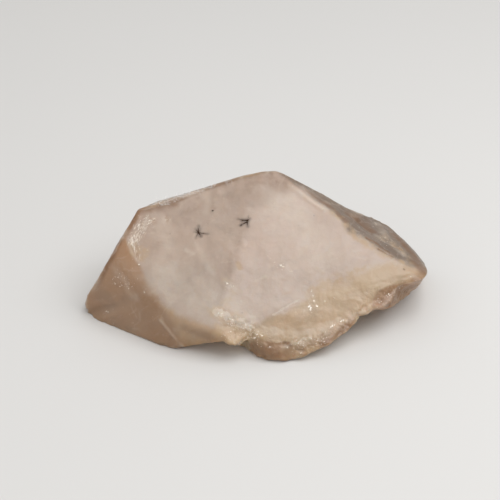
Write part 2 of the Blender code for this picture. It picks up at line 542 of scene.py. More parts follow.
def near_line(points, line, width):
    """1 on a line through these places, falling to 0 at that distance from it."""
    nearest = np.full(len(points), 1e9)
    for start, end in zip(line, line[1:]):
        start, along = np.array(start), np.array(end) - np.array(start)
        part = np.clip((points - start) @ along / max(along @ along, 1e-18), 0, 1)
        off = np.linalg.norm(points - start - part[:, None] * along, axis=1)
        nearest = np.minimum(nearest, off)
    return 1.0 - smooth_step(0.0, width, nearest)


def depth_inside(seen, outline):
    """How far inside a closed outline each seen point is, in pixels, and below 0 outside it."""
    inside = np.zeros(len(seen), bool)
    nearest = np.full(len(seen), 1e9)
    for start, end in zip(outline, outline[1:] + outline[:1]):
        start, end = np.array(start, float), np.array(end, float)
        along = end - start
        part = np.clip((seen - start) @ along / (along @ along), 0, 1)
        off = np.linalg.norm(seen - start - part[:, None] * along, axis=1)
        nearest = np.minimum(nearest, off)
        if start[1] != end[1]:
            crosses = (start[1] > seen[:, 1]) != (end[1] > seen[:, 1])
            where = start[0] + (seen[:, 1] - start[1]) / (end[1] - start[1]) * along[0]
            inside ^= crosses & (seen[:, 0] < where)
    return np.where(inside, nearest, -nearest)


def paint(mesh, name, values):
    layer = mesh.attributes.new(name, "FLOAT", "POINT")
    layer.data.foreach_set("value", np.clip(values, 0, 1).astype(np.float32))


def new_mesh_object(name, work):
    mesh = bpy.data.meshes.new(name)
    work.to_mesh(mesh)
    work.free()
    obj = bpy.data.objects.new(name, mesh)
    bpy.context.scene.collection.objects.link(obj)
    return obj


def even_copy_of_solid(name, face_size):
    """A closed mesh of even small faces that follows the solid."""
    obj = bpy.data.objects.new(name, SOLID.data.copy())
    bpy.context.scene.collection.objects.link(obj)
    modifier = obj.modifiers.new("even_faces", "REMESH")
    modifier.mode = "VOXEL"
    modifier.voxel_size = face_size
    graph = bpy.context.evaluated_depsgraph_get()
    mesh = bpy.data.meshes.new_from_object(obj.evaluated_get(graph))
    obj.modifiers.clear()
    obj.data = mesh
    mesh.name = name
    return obj


# Shader effects shared by the materials


def shared_group(name, inputs, fill):
    """The group of that name, made the first time that a material asks for it."""
    if name in bpy.data.node_groups:
        return bpy.data.node_groups[name]
    tree = bpy.data.node_groups.new(name, "ShaderNodeTree")
    for label, value in inputs.items():
        kind = "NodeSocketVector" if isinstance(value, tuple) else "NodeSocketFloat"
        tree.interface.new_socket(label, in_out="INPUT", socket_type=kind).default_value = value
    tree.interface.new_socket("Mask", in_out="OUTPUT", socket_type="NodeSocketFloat")
    given = tree.nodes.new("NodeGroupInput").outputs
    place = tree.nodes.new("ShaderNodeTexCoord").outputs["Object"]
    mask = fill(tree, given, place)
    tree.links.new(mask, tree.nodes.new("NodeGroupOutput").inputs["Mask"])
    return tree


def math_node(tree, operation):
    node = tree.nodes.new("ShaderNodeMath")
    node.operation = operation
    return node


def falling_level(tree, soft):
    """A node that gives 1 at 0 and falls to 0 at its From Max."""
    node = tree.nodes.new("ShaderNodeMapRange")
    node.interpolation_type = "SMOOTHSTEP" if soft else "LINEAR"
    node.inputs["To Min"].default_value = 1.0
    node.inputs["To Max"].default_value = 0.0
    return node


def fill_clouds(tree, given, place):
    stretch = tree.nodes.new("ShaderNodeVectorMath")
    stretch.operation = "MULTIPLY"
    clouds = tree.nodes.new("ShaderNodeTexNoise")
    level = tree.nodes.new("ShaderNodeMapRange")
    level.interpolation_type = "SMOOTHSTEP"
    link = tree.links.new
    link(place, stretch.inputs[0])
    link(given["Stretch"], stretch.inputs[1])
    link(stretch.outputs["Vector"], clouds.inputs["Vector"])
    for label in ("Scale", "Detail", "Distortion"):
        link(given[label], clouds.inputs[label])
    link(clouds.outputs["Fac"], level.inputs["Value"])
    link(given["From"], level.inputs["From Min"])
    link(given["To"], level.inputs["From Max"])
    return level.outputs["Result"]


def clouds_group():
    """A mask of soft clouds: where the noise rises from one level to another."""
    inputs = {
        "Scale": 100.0, "Detail": 4.0, "Distortion": 0.0, "Stretch": (1.0, 1.0, 1.0),
        "From": 0.4, "To": 0.6,
    }
    return shared_group("soft_clouds", inputs, fill_clouds)


def fill_specks(tree, given, place):
    cells = tree.nodes.new("ShaderNodeTexVoronoi")
    inside = falling_level(tree, soft=False)
    split = tree.nodes.new("ShaderNodeSeparateColor")
    chosen = math_node(tree, "LESS_THAN")
    both = math_node(tree, "MULTIPLY")
    link = tree.links.new
    link(place, cells.inputs["Vector"])
    link(given["Scale"], cells.inputs["Scale"])
    link(cells.outputs["Distance"], inside.inputs["Value"])
    link(given["Size"], inside.inputs["From Max"])
    link(cells.outputs["Color"], split.inputs["Color"])
    link(split.outputs["Red"], chosen.inputs[0])
    link(given["Share"], chosen.inputs[1])
    link(inside.outputs["Result"], both.inputs[0])
    link(chosen.outputs["Value"], both.inputs[1])
    return both.outputs["Value"]


def specks_group():
    """A mask of small round specks, scattered unevenly."""
    inputs = {"Scale": 900.0, "Size": 0.25, "Share": 0.3}
    return shared_group("fine_specks", inputs, fill_specks)


def fill_cracks(tree, given, place):
    drift = tree.nodes.new("ShaderNodeTexNoise")
    drift.inputs["Scale"].default_value = 260.0
    drift.inputs["Detail"].default_value = 6.0
    push = tree.nodes.new("ShaderNodeVectorMath")
    push.operation = "SCALE"
    moved = tree.nodes.new("ShaderNodeVectorMath")
    cells = tree.nodes.new("ShaderNodeTexVoronoi")
    cells.feature = "DISTANCE_TO_EDGE"
    line = falling_level(tree, soft=True)
    gaps = tree.nodes.new("ShaderNodeMapRange")
    gaps.inputs["From Min"].default_value = 0.46
    gaps.inputs["From Max"].default_value = 0.62
    broken = math_node(tree, "MULTIPLY")
    link = tree.links.new
    link(place, drift.inputs["Vector"])
    link(drift.outputs["Color"], push.inputs[0])
    link(given["Wander"], push.inputs["Scale"])
    link(place, moved.inputs[0])
    link(push.outputs["Vector"], moved.inputs[1])
    link(moved.outputs["Vector"], cells.inputs["Vector"])
    link(given["Scale"], cells.inputs["Scale"])
    link(cells.outputs["Distance"], line.inputs["Value"])
    link(given["Width"], line.inputs["From Max"])
    link(drift.outputs["Fac"], gaps.inputs["Value"])
    link(line.outputs["Result"], broken.inputs[0])
    link(gaps.outputs["Result"], broken.inputs[1])
    return broken.outputs["Value"]


def cracks_group():
    """A mask of thin wandering lines, like the healed cracks inside quartz."""
    inputs = {"Scale": 150.0, "Width": 0.03, "Wander": 0.004}
    return shared_group("healed_cracks", inputs, fill_cracks)


class MaterialBuilder:
    """Adds nodes to one material, so that each layer of colour is one readable line."""

    def __init__(self, name):
        self.material = bpy.data.materials.new(name)
        self.material.use_nodes = True
        self.tree = self.material.node_tree
        self.shader = self.tree.nodes["Principled BSDF"]

    def link(self, output, target):
        self.tree.links.new(output, target)

    def fill(self, socket, value):
        if isinstance(value, bpy.types.NodeSocket):
            self.link(value, socket)
        elif hasattr(value, "__len__") and len(value) == 3 and socket.type == "RGBA":
            socket.default_value = (*value, 1.0)
        else:
            socket.default_value = value

    def group(self, tree, **values):
        node = self.tree.nodes.new("ShaderNodeGroup")
        node.node_tree = tree
        for label, value in values.items():
            self.fill(node.inputs[label], value)
        return node.outputs[0]

    def clouds(self, **values):
        return self.group(clouds_group(), **values)

    def specks(self, **values):
        return self.group(specks_group(), **values)

    def cracks(self, **values):
        return self.group(cracks_group(), **values)

    def painted(self, name):
        node = self.tree.nodes.new("ShaderNodeAttribute")
        node.attribute_name = name
        return node.outputs["Fac"]

    def math(self, operation, first, second=0.0):
        node = self.tree.nodes.new("ShaderNodeMath")
        node.operation = operation
        node.use_clamp = True
        self.fill(node.inputs[0], first)
        self.fill(node.inputs[1], second)
        return node.outputs["Value"]

    def ragged(self, mask, scale, amount):
        """The mask with its border broken up by fine noise."""
        grain = self.clouds(Scale=scale, Detail=5.0, From=0.25, To=0.75)
        raised = self.math("ADD", mask, self.math("MULTIPLY", grain, amount))
        node = self.tree.nodes.new("ShaderNodeMapRange")
        node.interpolation_type = "SMOOTHSTEP"
        self.link(raised, node.inputs["Value"])
        node.inputs["From Min"].default_value = amount
        node.inputs["From Max"].default_value = 1.0
        return node.outputs["Result"]

    def mix(self, mask, below, above, kind="RGBA"):
        node = self.tree.nodes.new("ShaderNodeMix")
        node.data_type = kind
        self.fill(node.inputs["Factor"], mask)
        self.fill(node.inputs["A"], below)
        self.fill(node.inputs["B"], above)
        return node.outputs["Result"]

    def mix_number(self, mask, below, above):
        return self.mix(mask, below, above, "FLOAT")

    def bump(self, height, strength, distance, normal=None):
        node = self.tree.nodes.new("ShaderNodeBump")
        node.inputs["Strength"].default_value = strength
        node.inputs["Distance"].default_value = distance
        self.fill(node.inputs["Height"], height)
        if normal is not None:
            self.link(normal, node.inputs["Normal"])
        return node.outputs["Normal"]


def layered(make, colour, layers):
    """The colour with more laid over it, each layer through its mask times its strength."""
    for mask, strength, above in layers:
        colour = make.mix(make.math("MULTIPLY", mask, strength), colour, above)
    return colour


def painted_layers(make, rows):
    """A layer for each painted part of the surface, its border broken up by noise."""
    for name, scale, amount, strength, above in rows:
        yield make.ragged(make.painted(name), scale, amount), strength, above


def masked(make, mask, other):
    """One mask where the other is, too."""
    return make.math("MULTIPLY", mask, other)


def zone_colours(make, settings):
    """The body's tones, with painted light and shade in some zones. A row is a zone, its border's
    grain and raggedness, strength, colour.
    """
    # The right broad face gets its own pinker tone and painted light
    side = make.ragged(make.painted("lit_right_side"), 260.0, 0.25)
    colour = make.mix(side, settings.milky_left, settings.milky_right)
    colour = layered(make, colour, [(make.painted("back_faces"), 0.25, settings.rim_grey)])
    return layered(make, colour, painted_layers(make, (
        ("left_faces", 300.0, 0.60, 0.62, settings.clear_brown),
        ("under_faces", 300.0, 0.40, 0.80, settings.clear_brown),
        ("broken_front", 260.0, 0.45, 0.85, settings.iron_yellow),
        ("left_foot", 420.0, 0.30, 0.80, settings.olive_brown),
        # These four zones hold their own tones and painted shade
        ("clear_end", 300.0, 0.20, 0.95, settings.clear_brown),
        ("right_band", 420.0, 0.30, 0.85, settings.rim_grey),
        ("shaded_window", 420.0, 0.40, 0.90, settings.clear_brown),
        ("shaded_brown_hollow", 600.0, 0.30, 0.95, settings.clear_brown),
    )))


def milky_colours(make, colour, settings):
    """Clouds, wisps and smoke in the milky body, and the break's and the band's own mottling."""
    frost, clouds = settings.frost, make.clouds
    in_break, in_band = make.painted("broken_front"), make.painted("right_band")
    glassy = clouds(Scale=700.0, Detail=5.0, Distortion=1.5, From=0.58, To=0.70)
    mottled = clouds(Scale=520.0, Detail=6.0, Distortion=0.8, From=0.42, To=0.66)
    return layered(make, colour, (
        (clouds(Scale=95.0, Detail=3.0, Distortion=0.6, From=0.35, To=0.7), 0.10, frost),
        (
            clouds(
                Scale=150.0, Detail=6.0, Distortion=2.2, Stretch=(1.0, 2.6, 1.4),
                From=0.56, To=0.74,
            ), 0.12, frost,
        ),
        (
            clouds(
                Scale=130.0, Detail=5.0, Distortion=1.0, Stretch=(1.3, 1.0, 2.0),
                From=0.50, To=0.8,
            ), 0.22, settings.rim_grey,
        ),
        (masked(make, in_break, mottled), 0.16, settings.olive_brown),
        (masked(make, in_break, glassy), 0.16, frost),
        (masked(make, in_band, glassy), 0.22, frost),
    ))


def marking_colours(make, colour, settings):
    """The streaks, partly painted shade along the rim and the ridge, the pale fan, the scar and the
    healed cracks that the photo shows.
    """
    frost = settings.frost
    colour = layered(make, colour, painted_layers(make, (
        ("stains", 800.0, 0.45, 0.75, settings.iron_yellow),
        # Dark streaks, partly painted shade along the rim and beside the ridge
        ("dark_streaks_and_shade", 500.0, 0.25, 0.85, settings.deep_brown),
        ("veils", 500.0, 0.25, 0.42, frost),
    )))
    fan = make.painted("fan")
    feathers = make.clouds(
        Scale=1300.0, Detail=4.0, Distortion=0.6, Stretch=(1.0, 0.35, 0.35), From=0.42, To=0.62
    )
    between = make.math("SUBTRACT", 1.0, feathers)
    return layered(make, colour, (
        (masked(make, fan, between), 0.40, settings.clear_brown),
        (masked(make, fan, feathers), 0.10, frost),
        (make.ragged(make.painted("scar"), 1300.0, 0.90), 0.52, frost),
        (make.cracks(Scale=120.0, Width=0.030, Wander=0.0035), 0.12, frost),
    ))


def hidden_colours(make, colour, settings):
    """Seams, rust, snow and gloom on the faces that the photo doesn't show."""
    hidden = make.math("ADD", make.painted("back_faces"), make.painted("left_faces"))
    hidden = make.math("ADD", hidden, make.math("MULTIPLY", make.painted("under_faces"), 0.5))
    in_view = make.math("ADD", make.painted("broken_front"), make.painted("shaded_brown_hollow"))
    hidden = masked(make, hidden, make.math("SUBTRACT", 1.0, in_view))
    seams = make.cracks(Scale=90.0, Width=0.050, Wander=0.006)
    rust = make.clouds(Scale=110.0, Detail=7.0, Distortion=0.9, From=0.50, To=0.66)
    snow = make.clouds(Scale=170.0, Detail=8.0, Distortion=0.4, From=0.52, To=0.70)
    gloom = make.clouds(Scale=140.0, Detail=6.0, Distortion=1.0, From=0.52, To=0.68)
    return layered(make, colour, (
        (masked(make, hidden, seams), 0.45, settings.frost),
        (masked(make, hidden, rust), 0.60, settings.iron_yellow),
        (masked(make, hidden, snow), 0.50, settings.frost),
        (masked(make, hidden, gloom), 0.40, settings.deep_brown),
        (make.ragged(make.painted("splintered"), 500.0, 0.4), 0.35, settings.milky_right),
    ))


def quartz_colour(make, settings):
    """All layers of the body, then the dust, the pits and the shade round the stars."""
    colour = zone_colours(make, settings)
    colour = milky_colours(make, colour, settings)
    colour = marking_colours(make, colour, settings)
    colour = hidden_colours(make, colour, settings)
    return layered(make, colour, (
        (make.specks(Scale=1500.0, Size=0.30, Share=0.14), 0.22, settings.frost),
        (make.specks(Scale=650.0, Size=0.16, Share=0.10), 0.40, settings.rim_grey),
        (make.painted("star_shade"), 0.85, STAR_SHADE),
    ))


def quartz_roughness(make):
    dull = make.clouds(Scale=600.0, Detail=4.0, From=0.3, To=0.7)
    rough = make.mix_number(dull, 0.40, 0.60)
    for name, glossier in (("clear_end", 0.34), ("broken_front", 0.30), ("splintered", 0.28)):
        rough = make.mix_number(make.painted(name), rough, glossier)
    return rough


def quartz_normal(make):
    etch = make.clouds(Scale=2600.0, Detail=5.0, From=0.2, To=0.8)
    grain = make.clouds(Scale=800.0, Detail=4.0, Stretch=(1.0, 0.5, 1.0), From=0.2, To=0.8)
    crackle = make.clouds(Scale=420.0, Detail=8.0, Distortion=0.5, From=0.25, To=0.75)
    normal = make.bump(masked(make, crackle, make.painted("crumbly")), 0.5, 0.35 * MM)
    normal = make.bump(grain, 0.22, 0.10 * MM, normal)
    return make.bump(etch, 0.30, 0.05 * MM, normal)


def quartz_material(settings):
    make = MaterialBuilder("milky_quartz")
    sockets = make.shader.inputs
    make.link(quartz_colour(make, settings), sockets["Base Color"])
    make.link(quartz_roughness(make), sockets["Roughness"])
    make.link(quartz_normal(make), sockets["Normal"])
    sockets["Metallic"].default_value = 0.0
    sockets["IOR"].default_value = QUARTZ_IOR
    sockets["Transmission Weight"].default_value = settings.clearness
    sockets["Subsurface Weight"].default_value = 0.55
    sockets["Subsurface Radius"].default_value = (1.0, 0.75, 0.55)
    sockets["Subsurface Scale"].default_value = 3.0 * MM

    absorb = make.tree.nodes.new("ShaderNodeVolumeAbsorption")
    absorb.inputs["Color"].default_value = (0.88, 0.70, 0.52, 1.0)
    absorb.inputs["Density"].default_value = 24.0
    make.link(absorb.outputs["Volume"], make.tree.nodes["Material Output"].inputs["Volume"])
    return make.material


def needle_material(settings):
    make = MaterialBuilder("star_needles")
    rusty = make.clouds(Scale=1800.0, Detail=3.0, From=0.45, To=0.75)
    colour = make.mix(make.math("MULTIPLY", rusty, 0.5), settings.needle_colour, (0.09, 0.05, 0.03))
    make.link(colour, make.shader.inputs["Base Color"])
    make.link(make.mix_number(rusty, 0.8, 0.95), make.shader.inputs["Roughness"])
    make.shader.inputs["Specular IOR Level"].default_value = 0.1
    return make.material


def flake_material(frost):
    make = MaterialBuilder("glittering_cracks")
    cloudy = make.clouds(Scale=1500.0, Detail=3.0, From=0.35, To=0.7)
    make.link(make.mix(cloudy, frost, (0.95, 0.90, 0.82)), make.shader.inputs["Base Color"])
    make.link(make.mix_number(cloudy, 0.18, 0.42), make.shader.inputs["Roughness"])
    make.shader.inputs["IOR"].default_value = QUARTZ_IOR
    return make.material


def lint_material():
    make = MaterialBuilder("white_lint")
    dusty = make.clouds(Scale=2500.0, Detail=2.0, From=0.4, To=0.7)
    make.link(
        make.mix(dusty, (0.95, 0.94, 0.93), (0.80, 0.78, 0.76)), make.shader.inputs["Base Color"]
    )
    make.shader.inputs["Roughness"].default_value = 0.85
    return make.material


# Shaping the crystal


def soften_borders(points, edges, tree):
    """Rounds the borders that the real crystal has worn or etched away."""
    soft = np.zeros(len(points))
    for path, reach in SOFT_BORDERS.values():
        soft = np.maximum(soft, near_line(points, line_on(tree, path), reach * MM))
    return points + soft[:, None] * (relaxed(points, edges, 70) - points)


def outline_reach(angles):
    """How far the photograph's outline is from its middle at each angle, in pixels."""
    corners = np.array(OUTLINE, float) - OUTLINE_MIDDLE
    steps = np.linspace(0, 1, 12, endpoint=False)[:, None]
    following = np.roll(corners, -1, axis=0)
    dense = np.concatenate([a + (b - a) * steps for a, b in zip(corners, following)])
    around = np.arctan2(dense[:, 1], dense[:, 0])
    order = np.argsort(around)
    return np.interp(
        angles, around[order], np.hypot(dense[:, 0], dense[:, 1])[order], period=2 * math.pi
    )


def match_outline(points):
    """Moves the rim of the crystal, as the camera sees it, onto the photograph's outline."""
    seen = seen_at(points) - OUTLINE_MIDDLE
    angle = np.arctan2(seen[:, 1], seen[:, 0])
    reach = np.hypot(seen[:, 0], seen[:, 1])
    bins = 360
    which = ((angle + math.pi) / (2 * math.pi) * bins).astype(int) % bins
    rim = np.zeros(bins)
    np.maximum.at(rim, which, reach)
    middles = (np.arange(bins) + 0.5) / bins * 2 * math.pi - math.pi
    shift = outline_reach(middles) - rim
    shift = (np.roll(shift, 1) + 2 * shift + np.roll(shift, -1)) / 4
    shift_here = np.interp(angle, middles, shift, period=2 * math.pi)
    rim_here = np.interp(angle, middles, rim, period=2 * math.pi)
    amount = shift_here * smooth_step(0.62, 1.0, reach / rim_here) * PIXEL
    back, right, up = (np.array(axis) for axis in view_axes())
    # Low points slide along the floor to where the camera sees the same shift
    low = smooth_step(7 * MM, 1 * MM, points[:, 2])[:, None]
    upward = up * (1 - low) + np.array((0, 1 / math.sin(VIEW_TILT), 0)) * low
    across = (np.cos(angle) * amount)[:, None] * right
    return points + across - (np.sin(angle) * amount)[:, None] * upward


def growth_relief(points, behind, settings):
    """Broad swells and fine etching everywhere, and growth lines on the faces behind."""
    move = settings.swell * noise_on(points, 9.0 * MM, 2, seed=1)
    move += 0.35 * settings.swell * noise_on(points, 3.2 * MM, 3, seed=2)
    move += settings.etch * noise_on(points, 0.8 * MM, 3, seed=3)
    waver = 2.5 * move / (0.3 * MM)
    growth = np.sin(points @ np.array(GROWTH_WAY) / GROWTH_SPACING + waver)
    stepped = smooth_step(-0.4, 0.3, noise_on(points, 6.0 * MM, 2, seed=9))
    return move + settings.striation * growth * behind * stepped


def broken_relief(points, rough, crumbly, settings):
    """Steps, splinters and crumbs on the broken faces."""
    steps = broken_steps(points, 3.6 * MM, seed=4)
    splinters = broken_steps(points, 1.2 * MM, seed=5)
    crumbs = broken_steps(points, 0.6 * MM, seed=12)
    patchy = 0.35 + 0.65 * smooth_step(-0.3, 0.4, noise_on(points, 5.0 * MM, 2, seed=10))
    fine = patchy * (0.25 + 0.75 * crumbly) * (0.44 * splinters + 0.20 * crumbs)
    return rough * settings.fracture * ((0.16 + 0.34 * crumbly) * steps + fine - 0.05)


def plate_relief(points, normals, behind, splintered, settings):
    """Large plates on the hidden faces, kept off the rim that the camera sees."""
    unseen = smooth_step(0.0, -0.35, normals @ np.array(view_axes()[0]))
    plates = broken_steps(points, 6.0 * MM, seed=14)
    return settings.fracture * behind * unseen * splintered * (0.9 * plates - 0.3)


def chipped_edges(points, normals, edges, settings):
    """Small bites along the sharp edges."""
    outward = points - relaxed(points, edges, 14)
    edge = smooth_step(0.05 * MM, 0.20 * MM, (outward * normals).sum(1))
    chips = smooth_step(-0.05, 0.5, noise_on(points, 2.4 * MM, 2, seed=6))
    bites = np.abs(broken_steps(points, 1.3 * MM, seed=7))
    return -edge * settings.chip_depth * (0.05 + 0.6 * chips * np.clip(bites, 0, 1))


def drawn_relief(mesh, tree, points):
    """The grooves and ridges of the photograph, its jagged scar and its long scratch."""
    move = np.zeros(len(points))
    for path, width, height in RELIEF:
        move += near_line(points, line_on(tree, path), width * MM) * height * MM
    scar = near_line(points, line_on(tree, JAGGED_SCAR), 1.35 * MM)
    move += scar * 0.32 * MM * (broken_steps(points, 0.7 * MM, seed=8) + 0.25)
    scratch = near_line(points, line_on(tree, WHITE_SCRATCH), 0.34 * MM)
    paint(mesh, "scar", np.maximum(scar, 0.9 * scratch))
    return move - scratch * 0.08 * MM


def onto_floor(points):
    """The points, with any that fell below the floor lifted onto it."""
    points[:, 2] = np.maximum(points[:, 2], 0.0)
    return points


def shape_crystal(obj, settings):
    """Wears, breaks and etches the copy of the solid, and names its parts for the material."""
    # Noise vectors start from the clock unless they are given a seed, so each run would differ.
    noise.seed_set(NOISE_SEED)
    mesh = obj.data
    points, edges = read_points(mesh), read_edges(mesh)
    distances = distance_to_faces(points)

    points = relaxed(points, edges, settings.worn_passes)
    write_points(mesh, points)
    points = onto_floor(match_outline(soften_borders(points, edges, tree_of(obj))))
    write_points(mesh, points)
    normals, tree = read_normals(mesh), tree_of(obj)

    broad = near_faces(distances, ("broad",), 0.5 * MM)
    broken = near_faces(distances, ("break", "under"), 0.8 * MM) * (1 - 0.9 * broad)
    behind = near_faces(distances, ("back", "left_side", "top_rim"), 0.8 * MM)
    band = near_faces(distances, ("band",), 0.8 * MM)
    splintered = smooth_step(-0.12, 0.12, noise_on(points, 9.0 * MM, 3, seed=13))
    crumbly = smooth_step(-9, 3, depth_inside(seen_at(points), CRUMBLY_FOOT))
    rough = 0.9 * broken + 0.45 * band + 0.95 * splintered * behind + 0.6 * crumbly
    rough = np.clip(rough, 0, 1)
    crumbly = np.maximum(crumbly, behind)

    move = growth_relief(points, behind, settings)
    move += broken_relief(points, rough, crumbly, settings)
    move += plate_relief(points, normals, behind, splintered, settings)
    move += chipped_edges(points, normals, edges, settings)
    move += drawn_relief(mesh, tree, points)
    move *= 1.0 - smooth_step(0.5 * MM, 0.05 * MM, points[:, 2])
    points = onto_floor(match_outline(points + normals * move[:, None]))
    write_points(mesh, points)

    paint(mesh, "crumbly", rough * crumbly)
    paint(mesh, "splintered", rough * behind)
    for name, names in HIDDEN_PARTS.items():
        paint(mesh, name, near_faces(distances, names, 1.5 * MM))
    paint_zones(mesh, points, band)
    paint_markings(mesh, tree_of(obj), points)


def paint_zones(mesh, points, band):
    """Names the zones that the camera sees, and carries the right band round to the back."""
    seen = seen_at(points)
    facing = smooth_step(-0.55, -0.10, read_normals(mesh) @ np.array(view_axes()[0]))
    lower = smooth_step(255, 300, seen[:, 1])
    for name, (upper_softness, lower_softness, outline) in ZONES.items():
        softness = upper_softness + (lower_softness - upper_softness) * lower
        inside = smooth_step(-softness, softness, depth_inside(seen, outline)) * facing
        if name == "right_band":
            inside = np.maximum(inside, band * (1 - facing))
        paint(mesh, name, inside)
    # The mask of the right broad face, painted pinker and lighter as painted light
    spread = 4.0 + 12.0 * smooth_step(290, 190, seen[:, 1])
    paint(mesh, "lit_right_side", smooth_step(-spread, spread, depth_inside(seen, LIT_RIGHT_SIDE)))


def paint_markings(mesh, tree, points):
    """Names the streaks, partly painted shade along the rim, the fan and the shade round the stars."""
    for name, strokes in (
        ("veils", PALE_VEILS), ("dark_streaks_and_shade", DARK_STREAKS_AND_SHADE), ("stains", YELLOW_STAINS),
    ):
        total = np.zeros(len(points))
        for path, width, strength in strokes:
            stroke = near_line(points, line_on(tree, path), width * STROKE_FADE * MM)
            total = np.maximum(total, strength * stroke)
        paint(mesh, name, total)

    fan = np.zeros(len(points))
    for middle, reach, _, _ in FAN_TUFTS:
        tuft = near_line(points, line_on(tree, (middle, middle)), STROKE_FADE * reach * PIXEL)
        fan = np.maximum(fan, tuft)
    paint(mesh, "fan", fan)

    shade = 0.6 * near_line(points, line_on(tree, (DARK_SPECK, DARK_SPECK)), 0.42 * MM)
    for path, width, dark in (needle for star in STARS.values() for needle in star):
        reach = (0.30 + 0.32 * width) * MM
        shade = np.maximum(shade, dark * near_line(points, line_on(tree, path), reach))
    paint(mesh, "star_shade", shade)


# Small meshes


def add_tube(work, path, radii, sides=6):
    """A closed tapering tube along a path."""
    rings = []
    for index, (point, radius) in enumerate(zip(path, radii)):
        before, after = path[max(index - 1, 0)], path[min(index + 1, len(path) - 1)]
        forward = (after - before).normalized()
        side = forward.orthogonal().normalized()
        other = forward.cross(side)
        ring = []
        for step in range(sides):
            angle = 2 * math.pi * step / sides
            offset = side * math.cos(angle) + other * math.sin(angle)
            ring.append(work.verts.new(point + offset * radius))
        rings.append(ring)
    for ring, following in zip(rings, rings[1:]):
        for step in range(sides):
            after = (step + 1) % sides
            work.faces.new((ring[step], ring[after], following[after], following[step]))
    work.faces.new(list(reversed(rings[0])))
    work.faces.new(rings[-1])


def point_along(path, part):
    """A point at that share of a pixel path's length."""
    lengths = [math.dist(a, b) for a, b in zip(path, path[1:])]
    left = part * sum(lengths)
    for start, end, length in zip(path, path[1:], lengths):
        if left <= length:
            break
        left -= length
    share = min(left / length, 1.0)
    return tuple(a + (b - a) * share for a, b in zip(start, end))


def add_needle(work, tree, path, settings, width):
    """One needle along a path of pixels, sinking below the surface as it goes."""
    places, radii = [], []
    pieces = 7
    for step in range(pieces + 1):
        part = step / pieces
        place, normal = on_crystal(tree, point_along(path, part))
        lift = settings.needle_lift - settings.needle_sink * width * part * part
        places.append(place + normal * lift)
        radii.append(settings.needle_width * width * (0.08 + 0.42 * (1 - part) ** 1.4))
    add_tube(work, places, radii)


def add_flake(work, place, normal, forward, length, width, thickness, rng):
    """A thin splinter with an uneven outline, lying nearly flat on the surface."""
    tilt = Matrix.Rotation(rng.uniform(-0.45, 0.45), 3, forward)
    normal = tilt @ normal
    side = normal.cross(forward).normalized()
    forward = side.cross(normal).normalized()
    corners = 6
    rim = []
    for step in range(corners):
        angle = 2 * math.pi * (step + rng.uniform(-0.25, 0.25)) / corners
        reach = rng.uniform(0.7, 1.0) * 0.5
        rim.append(
            place + forward * math.cos(angle) * reach * length + side * math.sin(angle) * reach * width
        )
    top = [work.verts.new(corner + normal * thickness * rng.uniform(0.3, 1.0)) for corner in rim]
    bottom = [work.verts.new(corner - normal * thickness * 1.5) for corner in rim]
    work.faces.new(top)
    work.faces.new(list(reversed(bottom)))
    for step in range(corners):
        after = (step + 1) % corners
        work.faces.new((bottom[step], bottom[after], top[after], top[step]))


def add_turned_flake(work, tree, spot, size, scales, shape, rng):
    """A flake turned any way at a pixel. Its shape is its width for its length, and thickness."""
    place, normal = on_crystal(tree, spot)
    forward = normal.orthogonal().normalized()
    forward.rotate(Matrix.Rotation(rng.uniform(0, math.pi), 3, normal))
    length = size * rng.uniform(*scales)
    add_flake(work, place, normal, forward, length, length * shape[0], shape[1], rng)


def along_surface(tree, start, end, normal):
    """The direction on the surface that runs from one pixel towards another."""
    forward = on_crystal(tree, end)[0] - on_crystal(tree, start)[0]
    forward -= normal * forward.dot(normal)
    return forward.normalized()


class QUARTZ_OT_crystal(bpy.types.Operator):
    """Makes the crystal's own surface from the solid"""

    bl_idname = "quartz.crystal"
    bl_label = "Crystal"

    def execute(self, context):
        settings = context.scene.quartz_crystal
        size = settings.face_size * 1.0
        obj = even_copy_of_solid("crystal_surface", size)
        shape_crystal(obj, settings)
        obj.data.materials.clear()
        obj.data.materials.append(quartz_material(settings))
        obj.data.shade_smooth()
        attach(obj, "root")
        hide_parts("quartz_crystal")
        return {"FINISHED"}


class QUARTZ_OT_stars(bpy.types.Operator):
    """Makes the dark needle stars and the single speck just under the surface"""

    bl_idname = "quartz.stars"
    bl_label = "Needle stars"

    def execute(self, context):
        settings = context.scene.quartz_inclusions
        tree = tree_of(bpy.data.objects["crystal_surface"])
        material = needle_material(settings)
        rng = random.Random(5)
        for name, star in STARS.items():
            work = bmesh.new()
            for path, width, dark in star:
                for strand in range(4):
                    spread = rng.uniform(-0.7, 0.7) * (strand > 0)
                    reach = 1.0 if strand == 0 else rng.uniform(0.5, 0.9)
                    near = tuple(c + rng.uniform(-0.25, 0.25) for c in path[0])
                    middle = tuple(a + (b - a) * reach for a, b in zip(path[0], path[1]))
                    far = tuple(a + (b - a) * reach for a, b in zip(path[0], path[2]))
                    far = (far[0] + spread, far[1] - spread)
                    thickness = width * dark * (1.0 if strand == 0 else 0.7)
                    add_needle(work, tree, (near, middle, far), settings, thickness)
            self.finish(name, work, material)
        work = bmesh.new()
        place, normal = on_crystal(tree, DARK_SPECK)
        turn = normal.to_track_quat("Z", "Y").to_matrix().to_4x4()
        bmesh.ops.create_icosphere(
            work, subdivisions=2, radius=0.16 * MM,
            matrix=Matrix.Translation(place) @ turn @ Matrix.Diagonal((1.0, 0.8, 0.5, 1.0)),
        )
        self.finish("dark_speck", work, material)
        return {"FINISHED"}

    def finish(self, name, work, material):
        obj = new_mesh_object(name, work)
        obj.data.materials.append(material)
        obj.data.shade_smooth()
        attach(obj, "root")


